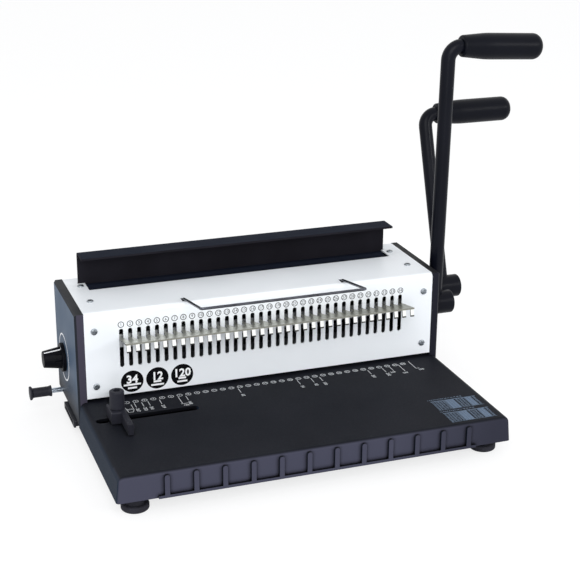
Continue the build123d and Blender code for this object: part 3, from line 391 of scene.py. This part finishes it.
def settled(piece, at, facing=facingUp, spin=0):        # moves the piece there, place in its mesh
    deselectAll()
    piece.select_set(True)
    bpy.context.view_layer.objects.active = piece
    piece.matrix_world = Matrix.Translation(at) @ facing @ Matrix.Rotation(spin, 4, "Z")
    bpy.ops.object.transform_apply(location=True, rotation=True, scale=True)
    return piece


def copied(piece):
    twin = piece.copy()
    twin.data = piece.data.copy()
    bpy.context.scene.collection.objects.link(twin)
    return twin


def merged(pieces):
    deselectAll()
    for piece in pieces:
        piece.select_set(True)
    bpy.context.view_layer.objects.active = pieces[0]
    if len(pieces) > 1:
        bpy.ops.object.join()
    return bpy.context.view_layer.objects.active


def joined(name, pieces, material, body):
    whole = merged(pieces)
    whole.name = name
    whole.data.name = name
    whole.data.materials.clear()
    whole.data.materials.append(material)
    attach(whole, body)
    return whole


def turnedOutwards():       # all faces of the piece in edit mode look outwards, and edit mode ends
    bpy.ops.mesh.select_all(action="SELECT")
    bpy.ops.mesh.normals_make_consistent(inside=False)
    bpy.ops.object.mode_set(mode="OBJECT")
    return bpy.context.object


def edgesRounded(size):     # on the primitive that was just added
    bpy.ops.object.mode_set(mode="EDIT")
    bpy.ops.mesh.bevel(offset=size * mm, segments=2)
    bpy.ops.object.mode_set(mode="OBJECT")
    return bpy.context.object


# Cross-recess pan screw: a turned head with a domed top, a cross punched into it, a short shank
screws = {
    "head": 3.15, "headSides": 32, "smooth": 38,
    "dome": ((1.0, 0.45), (0.97, 0.85), (0.88, 1.15), (0.7, 1.36), (0.4, 1.47), (0.1, 1.5)),
    "crossLength": 4.2, "crossWidth": 0.95, "crossDepth": 1.1,
    "shank": 1.6, "shankSides": 20, "length": 4.4, "tip": 0.3,
    "turnStep": 0.7, "frontX": 164.8, "frontRises": (14.8, 69.4), "topX": 161.0,
    "topY": (31.4, 75.1), "rearRises": (10.0, 70.0)}
deselectAll()
bpy.ops.mesh.primitive_circle_add(vertices=screws["headSides"], radius=screws["head"] * mm,
                                  fill_type="NGON")
panScrew = bpy.context.object
bpy.ops.object.mode_set(mode="EDIT")
share, rise = 1.0, 0.0
for nextShare, nextRise in screws["dome"]:
    bpy.ops.mesh.extrude_region_move(
        TRANSFORM_OT_translate={"value": (0, 0, (nextRise - rise) * mm)})
    bpy.ops.transform.resize(value=(nextShare / share, nextShare / share, 1))
    share, rise = nextShare, nextRise
turnedOutwards()
for turn in (math.pi / 4, 3 * math.pi / 4):
    deselectAll()
    bpy.ops.mesh.primitive_cube_add(size=1, location=(0, 0, rise * mm))
    blade = bpy.context.object
    blade.scale = [size * mm for size in (screws["crossLength"], screws["crossWidth"],
                                          2 * screws["crossDepth"])]
    blade.rotation_euler = (0, 0, turn)
    bpy.ops.object.transform_apply(location=True, rotation=True, scale=True)
    deselectAll()
    panScrew.select_set(True)
    bpy.context.view_layer.objects.active = panScrew
    cross = panScrew.modifiers.new("cross", "BOOLEAN")
    cross.operation = "DIFFERENCE"
    cross.solver = "EXACT"
    cross.object = blade
    bpy.ops.object.modifier_apply(modifier=cross.name)
    bpy.data.objects.remove(blade)
deselectAll()
bpy.ops.mesh.primitive_cylinder_add(
    vertices=screws["shankSides"], radius=screws["shank"] * mm, depth=screws["length"] * mm,
    location=(0, 0, -screws["length"] / 2 * mm))
panScrew = merged([panScrew, edgesRounded(screws["tip"])])
bpy.ops.object.shade_smooth_by_angle(angle=math.radians(screws["smooth"]))
coverScrews = []
rearScrews = []


def driven(row, at, facing):        # every screw stops at a turn of its own
    row.append(settled(copied(panScrew), at, facing, len(row) * screws["turnStep"]))


for side in (-1, 1):
    x = rowMiddle + side * screws["frontX"] * mm
    for rise in screws["frontRises"]:
        driven(coverScrews, (x, coverFace, baseTop + rise * mm), facingFront)
    for rise in screws["rearRises"]:
        driven(rearScrews, (x, coverHigh.y, baseTop + rise * mm), facingRear)
    x = rowMiddle + side * screws["topX"] * mm
    for y in screws["topY"]:
        driven(coverScrews, (x, coverFace + y * mm, coverTop), facingUp)
bpy.data.objects.remove(panScrew)
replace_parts(joined("cover_pan_screws", coverScrews, zincSteel, "chassis"), "cover_screws")
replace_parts(joined("rear_pan_screws", rearScrews, zincSteel, "chassis"), "rear_screws")
print("screws made:", len(coverScrews) + len(rearScrews))

# Return springs: close-wound torsion springs round the shafts, hooked into the right plate
springs = {
    "wire": 0.95, "sides": 10, "coil": 8.0, "pitch": 2.02, "turns": 6, "steps": 28, "end": 3.4,
    "leg": 11.0, "hookSides": 12, "tip": 0.2, "weld": 0.001}
coilLength = springs["turns"] * springs["pitch"]
deselectAll()
bpy.ops.mesh.primitive_circle_add(
    vertices=springs["sides"], radius=springs["wire"] * mm, fill_type="NOTHING",
    location=(0, 0, springs["coil"] * mm), rotation=(math.pi / 2, 0, 0))
coil = bpy.context.object
bpy.ops.object.transform_apply(location=True, rotation=True, scale=True)
wind = coil.modifiers.new("wind", "SCREW")
wind.axis = "X"
wind.angle = -springs["turns"] * 2 * math.pi
wind.screw_offset = coilLength * mm
wind.steps = wind.render_steps = springs["steps"] * springs["turns"]
wind.use_smooth_shade = True
bpy.ops.object.modifier_apply(modifier=wind.name)
coilEnd = max(vertex.co.x for vertex in coil.data.vertices)
lastRing = coilEnd - 2 * (springs["wire"] + springs["weld"]) * mm
for vertex in coil.data.vertices:       # the ring at the end that the leg grows from
    vertex.select = (vertex.co.x > lastRing and vertex.co.z > 0
                     and abs(vertex.co.y) < springs["weld"] * mm)
bpy.ops.object.mode_set(mode="EDIT")
bpy.ops.mesh.extrude_region_move(TRANSFORM_OT_translate={"value": (0, springs["leg"] * mm, 0)})
bpy.ops.mesh.select_all(action="SELECT")
bpy.ops.mesh.fill_holes(sides=0)
bpy.ops.mesh.remove_doubles(threshold=springs["weld"] * mm)
settled(turnedOutwards(), (-(springs["end"] + coilLength) * mm, 0, 0))
deselectAll()
hookLength = springs["end"] + springs["wire"]       # from the leg's wire into the plate
bpy.ops.mesh.primitive_cylinder_add(
    vertices=springs["hookSides"], radius=springs["wire"] * mm, depth=hookLength * mm,
    location=(-hookLength / 2 * mm, springs["leg"] * mm, springs["coil"] * mm),
    rotation=(0, math.pi / 2, 0))
hook = edgesRounded(springs["tip"])
bpy.ops.object.transform_apply(location=True, rotation=True, scale=True)
spring = merged([coil, hook])
for name in ("punch_spring", "closing_spring"):
    shaftLow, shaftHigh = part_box(name.replace("spring", "shaft"))
    shaftMiddle = (shaftLow + shaftHigh) / 2
    wound = settled(copied(spring), (plateInside, shaftMiddle.y, shaftMiddle.z))
    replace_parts(joined(name.replace("_spring", "_torsion_spring"), [wound], groundSteel, "chassis"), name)
bpy.data.objects.remove(spring)
print("springs wound")


# Printed film: everything printed is this thick and starts this far off the face
film = {"thick": 0.03, "off": 0.02}
capShare = 0.7          # height of a figure as a share of Blender's text size


def filmText(words, height, bold=0.0):
    deselectAll()
    bpy.ops.object.text_add()
    text = bpy.context.object
    text.data.body = words
    text.data.size = height / capShare * mm
    text.data.align_x = "CENTER"
    text.data.align_y = "CENTER"
    text.data.resolution_u = 2
    text.data.offset = bold * height * mm
    text.data.extrude = film["thick"] / 2 * mm
    bpy.ops.object.convert(target="MESH")
    return bpy.context.object


def thickened():        # gives the flat piece in edit mode the film's thickness
    bpy.ops.mesh.select_all(action="SELECT")
    bpy.ops.mesh.extrude_region_move(
        TRANSFORM_OT_translate={"value": (0, 0, film["thick"] * mm)})
    return turnedOutwards()


def filmDisc(radius, corners=40):
    deselectAll()
    bpy.ops.mesh.primitive_circle_add(vertices=corners, radius=radius * mm, fill_type="NGON")
    bpy.ops.object.mode_set(mode="EDIT")
    return thickened()


def filmRing(radius, line, corners=28):
    deselectAll()
    bpy.ops.mesh.primitive_circle_add(vertices=corners, radius=radius * mm, fill_type="NGON")
    bpy.ops.object.mode_set(mode="EDIT")
    bpy.ops.mesh.inset(thickness=line * mm)
    bpy.ops.mesh.delete(type="FACE")
    return thickened()


def filmBar(width, height):
    deselectAll()
    bpy.ops.mesh.primitive_plane_add(size=1)
    bpy.context.object.scale = (width * mm, height * mm, 1)
    bpy.ops.object.transform_apply(location=False, rotation=False, scale=True)
    bpy.ops.object.mode_set(mode="EDIT")
    return thickened()


def onCover(x, rise, lift=0.0):
    return Vector((rowMiddle + x * mm, coverFace - (film["off"] + lift) * mm, baseTop + rise * mm))


def onBase(x, y):
    return Vector((rowMiddle + x * mm, coverFace + y * mm, baseTop + film["off"] * mm))


def ringedNumbers(look, onFace, facing):        # one for every tooth, counted from the left
    ring = filmRing(look["radius"], look["line"])
    drawn = []
    for n, x in enumerate(toothX):
        drawn.append(settled(copied(ring), onFace(x, look["up"]), facing))
        drawn.append(settled(filmText(str(n + 1), look["figure"]), onFace(x, look["up"]), facing))
    bpy.data.objects.remove(ring)
    return drawn


# Ringed numbers over the slots, black on the white cover
slotNumbers = {"up": 73.2, "radius": 3.0, "line": 0.62, "figure": 2.8}
joined("slot_numbers", ringedNumbers(slotNumbers, onCover, facingFront), blackInk, "chassis")
print("slot numbers printed")

# Ringed numbers on the base, white on black, in line with the slots
baseNumbers = {"up": -11.8, "radius": 2.75, "line": 0.55, "figure": 2.5}
joined("base_numbers", ringedNumbers(baseNumbers, onBase, facingUp), whiteInk, "chassis")
print("base numbers printed")

# Sheet marks: a line and the sheet's length in millimetres; such a sheet lies midway on the row
sheetMarks = {
    "left": (267, 253, 241, 219, 168, 65), "right": (54, 82, 100, 201, 232), "start": -15.6,
    "end": -24.6, "line": 0.55, "figure": 3.2, "bold": 0.02, "figuresY": -30.8,
    "strokes": (        # longer or bent lines of the largest sheets, each as x and y of both ends
        (-143.8, -22.8, -142.6, -33.0), (-142.6, -33.0, -138.6, -33.4),
        (-138.6, -33.4, -136.9, -29.0), (-136.9, -29.0, -136.9, -17.8),
        (-91.2, -14.5, -91.2, -29.6), (-92.6, -30.8, -86.5, -30.8), (124.2, -15.0, 124.2, -24.2),
        (134.5, -13.0, 134.5, -28.7), (147.4, -8.0, 147.4, -26.0), (147.5, -26.1, 150.6, -26.1)),
    "labels": (("279", -140.4, -27.5), ("182", -88.6, -34.6), ("248", 122.2, -27.4),
               ("269", 133.4, -32.4), ("295", 151.6, -29.8)),
    "labelFigure": 2.56}


def stroke(x0, y0, x1, y1):
    length = math.hypot(x1 - x0, y1 - y0) + sheetMarks["line"]
    turn = math.atan2(y1 - y0, x1 - x0)
    middle = onBase((x0 + x1) / 2, (y0 + y1) / 2)
    return settled(filmBar(length, sheetMarks["line"]), middle, spin=turn)


marks = [stroke(*ends) for ends in sheetMarks["strokes"]]
for label, x, y in sheetMarks["labels"]:
    marks.append(settled(filmText(label, sheetMarks["labelFigure"], sheetMarks["bold"]),
                         onBase(x, y)))
for side, lengths in ((-1, sheetMarks["left"]), (1, sheetMarks["right"])):
    for length in lengths:
        x = side * length / 2
        marks.append(stroke(x, sheetMarks["start"], x, sheetMarks["end"]))
        marks.append(settled(filmText(str(length), sheetMarks["figure"], sheetMarks["bold"]),
                             onBase(x, sheetMarks["figuresY"]), spin=-math.pi / 2))
joined("sheet_marks", marks, whiteInk, "chassis")
print("sheet marks printed")

# Round badges at the lower left of the cover: a plain number and two bars each
badges = {
    "numbers": ("34", "12", "120"), "first": -131.0, "pitch": 24.1, "rise": 15.4, "radius": 10.8,
    "figure": 7.9, "bold": 0.045, "figureUp": 1.7, "barHeight": 1.8, "barUps": (-3.3, -6.6),
    "bars": ((16.5, 8.6), (7.4, 12.4), (7.4, 9.8))}
overFilm = 2 * film["thick"]        # a second film lies this far over the first
discs = []
figures = []
for n, number in enumerate(badges["numbers"]):
    x = badges["first"] + n * badges["pitch"]
    rise = badges["rise"]
    discs.append(settled(filmDisc(badges["radius"]), onCover(x, rise), facingFront))
    figures.append(settled(filmText(number, badges["figure"], badges["bold"]),
                           onCover(x, rise + badges["figureUp"], overFilm), facingFront))
    for width, up in zip(badges["bars"][n], badges["barUps"]):
        figures.append(settled(filmBar(width, badges["barHeight"]),
                               onCover(x, rise + up, overFilm), facingFront))
joined("badge_discs", discs, blackInk, "chassis")
joined("badge_figures", figures, brightInk, "chassis")
print("badges printed")

# Two small tables of wire sizes at the front right of the base, with two shaded columns; the sizes
# are made up and grow down the rows and across the columns
chart = {
    "left": 126.5, "width": 45.5, "tops": (-102.4, -128.4), "height": 19.0, "rule": 0.35,
    "edges": (0, 0.31, 0.51, 0.74, 0.9, 1), "perRow": (5, 3, 3, 2, 1), "shaded": (1, 3),
    "figure": 1.55, "bold": 0.03, "rowCount": 8, "spareRows": 0.6, "firstRow": 0.8,
    "columnSize": 2, "rowSize": 7, "sizeStep": 3,
    "titleUp": 3.4, "title": 1.7, "titleCount": 15, "titlePlace": 0.35}
marks = []
blocks = []
title = " ".join(str(n + 1) for n in range(chart["titleCount"]))
rowStep = chart["height"] / (chart["rowCount"] + chart["spareRows"])
for top in chart["tops"]:
    middleX = chart["left"] + chart["width"] / 2
    middleY = top - chart["height"] / 2
    marks.append(settled(filmBar(chart["width"], 2 * chart["rule"]), onBase(middleX, top)))
    marks.append(settled(filmBar(chart["width"], chart["rule"]),
                         onBase(middleX, top - chart["height"])))
    marks.append(settled(
        filmText(title, chart["title"], chart["bold"]),
        onBase(chart["left"] + chart["titlePlace"] * chart["width"], top + chart["titleUp"])))
    for n, (low, high) in enumerate(zip(chart["edges"][:-1], chart["edges"][1:])):
        x = chart["left"] + (low + high) / 2 * chart["width"]
        for row in range(chart["rowCount"]):
            first = (n + chart["columnSize"]) * (row + chart["rowSize"])
            words = " ".join(str(first + k * chart["sizeStep"]) for k in range(chart["perRow"][n]))
            place = onBase(x, top - (row + chart["firstRow"]) * rowStep)
            place.z += overFilm * mm
            marks.append(settled(filmText(words, chart["figure"], chart["bold"]), place))
        if n in chart["shaded"]:
            blocks.append(settled(filmBar((high - low) * chart["width"], chart["height"]),
                                  onBase(x, middleY)))
joined("size_chart", marks, chartInk, "chassis")
joined("chart_shading", blocks, shadeInk, "chassis")
print("chart printed")

# Ring printed round the size dial on the left plate
dialPrint = {"radius": 23.4, "line": 1.5, "corners": 72}
dialMiddle = (dialLow + dialHigh) / 2
dialRing = settled(filmRing(dialPrint["radius"], dialPrint["line"], dialPrint["corners"]),
                   (leftFace - film["off"] * mm, dialMiddle.y, dialMiddle.z), facingLeft)
joined("dial_ring", [dialRing], brightInk, "chassis")
print("dial ring printed")

# Pointer of the size dial: a filled line along the ridge that looks up and forwards, and on over
# the skirt
pointer = {
    "tip": 19.2, "root": 3.7, "tipRadius": 8.12, "rootRadius": 10.5, "line": 1.3, "ridge": 112.5,
    "skirt": 3.2, "skirtLow": 10.9, "skirtHigh": 13.3}
ridge = math.radians(pointer["ridge"])
outward = Vector((0, math.cos(ridge), math.sin(ridge)))


def onDial(depth, radius):      # a point of the ridge, by its depth from the plate and its radius
    return Vector((dialHigh.x - depth * mm, dialMiddle.y, dialMiddle.z)) + outward * (radius * mm)


def pointerLine(start, end, up):        # a line from start to end with its face along up
    forth = (end - start).normalized()
    side = up.cross(forth).normalized()
    face = forth.cross(side)
    turn = Matrix((forth, side, face)).transposed().to_4x4()
    bar = filmBar((end - start).length / mm, pointer["line"])
    return settled(bar, (start + end) / 2 + face * (film["off"] * mm), turn)


sleeve = pointerLine(onDial(pointer["tip"], pointer["tipRadius"]),
                     onDial(pointer["root"], pointer["rootRadius"]), outward)
rim = pointerLine(onDial(pointer["skirt"], pointer["skirtLow"]),
                  onDial(pointer["skirt"], pointer["skirtHigh"]), Vector((-1, 0, 0)))
joined("dial_pointer", [sleeve, rim], brightInk, "size_dial")
print("dial pointer filled")

# Floor and world, in metres
stage = {"floor": 12.0, "floorColour": "#F2F3F5", "floorRoughness": 0.9, "floorSpecular": 0.1,
         "shadowShare": 0.35, "white": 1.13, "ambient": 0.74}
deselectAll()
bpy.ops.mesh.primitive_plane_add(size=stage["floor"], location=(0, 0, 0))
floor = bpy.context.object
floor.name = "floor"
# White backdrop paper: the camera sees it nearly as plain white, and part of it still takes shadow
paper = bpy.data.materials.new("white backdrop paper")
paper.use_nodes = True
paperTree = paper.node_tree
paperShader = paperTree.nodes["Principled BSDF"]
paperShader.inputs["Base Color"].default_value = linear(stage["floorColour"])
paperShader.inputs["Roughness"].default_value = stage["floorRoughness"]
paperShader.inputs["Specular IOR Level"].default_value = stage["floorSpecular"]
white = addNode(paperTree, "ShaderNodeEmission", {
    "Color": (1, 1, 1, 1), "Strength": stage["white"]})
rays = addNode(paperTree, "ShaderNodeLightPath")
seen = addNode(paperTree, "ShaderNodeMath", {
    0: rays.outputs["Is Camera Ray"], 1: 1 - stage["shadowShare"]}, operation="MULTIPLY")
mix = addNode(paperTree, "ShaderNodeMixShader", {
    0: seen.outputs["Value"], 1: paperShader.outputs["BSDF"], 2: white.outputs["Emission"]})
paperTree.links.new(mix.outputs["Shader"], paperTree.nodes["Material Output"].inputs["Surface"])
floor.data.materials.append(paper)

world = bpy.data.worlds.new("soft studio")
bpy.context.scene.world = world
world.use_nodes = True
sky = world.node_tree
sky.nodes.clear()
rays = addNode(sky, "ShaderNodeLightPath")
direct = rays.outputs["Is Camera Ray"]
for ray in ("Is Glossy Ray", "Is Transmission Ray"):        # metal shows the white background too
    direct = addNode(sky, "ShaderNodeMath", {0: direct, 1: rays.outputs[ray]},
                     operation="MAXIMUM").outputs["Value"]
dim = addNode(sky, "ShaderNodeBackground", {"Color": (1, 1, 1, 1), "Strength": stage["ambient"]})
bright = addNode(sky, "ShaderNodeBackground", {"Color": (1, 1, 1, 1), "Strength": 1.0})
mix = addNode(sky, "ShaderNodeMixShader", {
    0: direct, 1: dim.outputs["Background"], 2: bright.outputs["Background"]})
addNode(sky, "ShaderNodeOutputWorld", {"Surface": mix.outputs["Shader"]})

# Lamps, in metres and watts
lamps = {
    "key softbox": {"at": (-0.9, -2.5, 1.95), "aim": (0, -0.05, 0.1), "size": 2.2, "watts": 49},
    "fill softbox": {"at": (1.5, -1.6, 1.05), "aim": (0.1, 0, 0.3), "size": 0.42, "watts": 8},
    "low strip": {"at": (-0.7, -2.1, 0.17), "aim": (0.2, 0, 0.35), "size": 0.28, "watts": 3}}
for name, light in lamps.items():
    bpy.ops.object.light_add(type="AREA", location=light["at"])
    lamp = bpy.context.object
    lamp.name = name
    lamp.data.size = light["size"]
    lamp.data.energy = light["watts"]
    beam = Vector(light["aim"]) - Vector(light["at"])
    lamp.rotation_euler = beam.to_track_quat("-Z", "Y").to_euler()
print("stage and light set")

# Camera at the photograph's angle, solved from edges of the base and cover, in metres and degrees
view = {"at": (-0.44200, -1.12570, 0.56656), "down": 70.252, "turn": -18.957, "lens": 83.55,
        "sensor": 36, "shift": (0.0424, -0.0158), "reach": 50}
bpy.ops.object.camera_add(location=view["at"],
                          rotation=(math.radians(view["down"]), 0, math.radians(view["turn"])))
camera = bpy.context.object
camera.name = "camera"
camera.data.sensor_fit = "HORIZONTAL"
camera.data.sensor_width = view["sensor"]
camera.data.lens = view["lens"]
camera.data.shift_x, camera.data.shift_y = view["shift"]
camera.data.clip_end = view["reach"]
bpy.context.scene.camera = camera
bpy.context.scene.view_settings.view_transform = "Standard"
print("camera set")
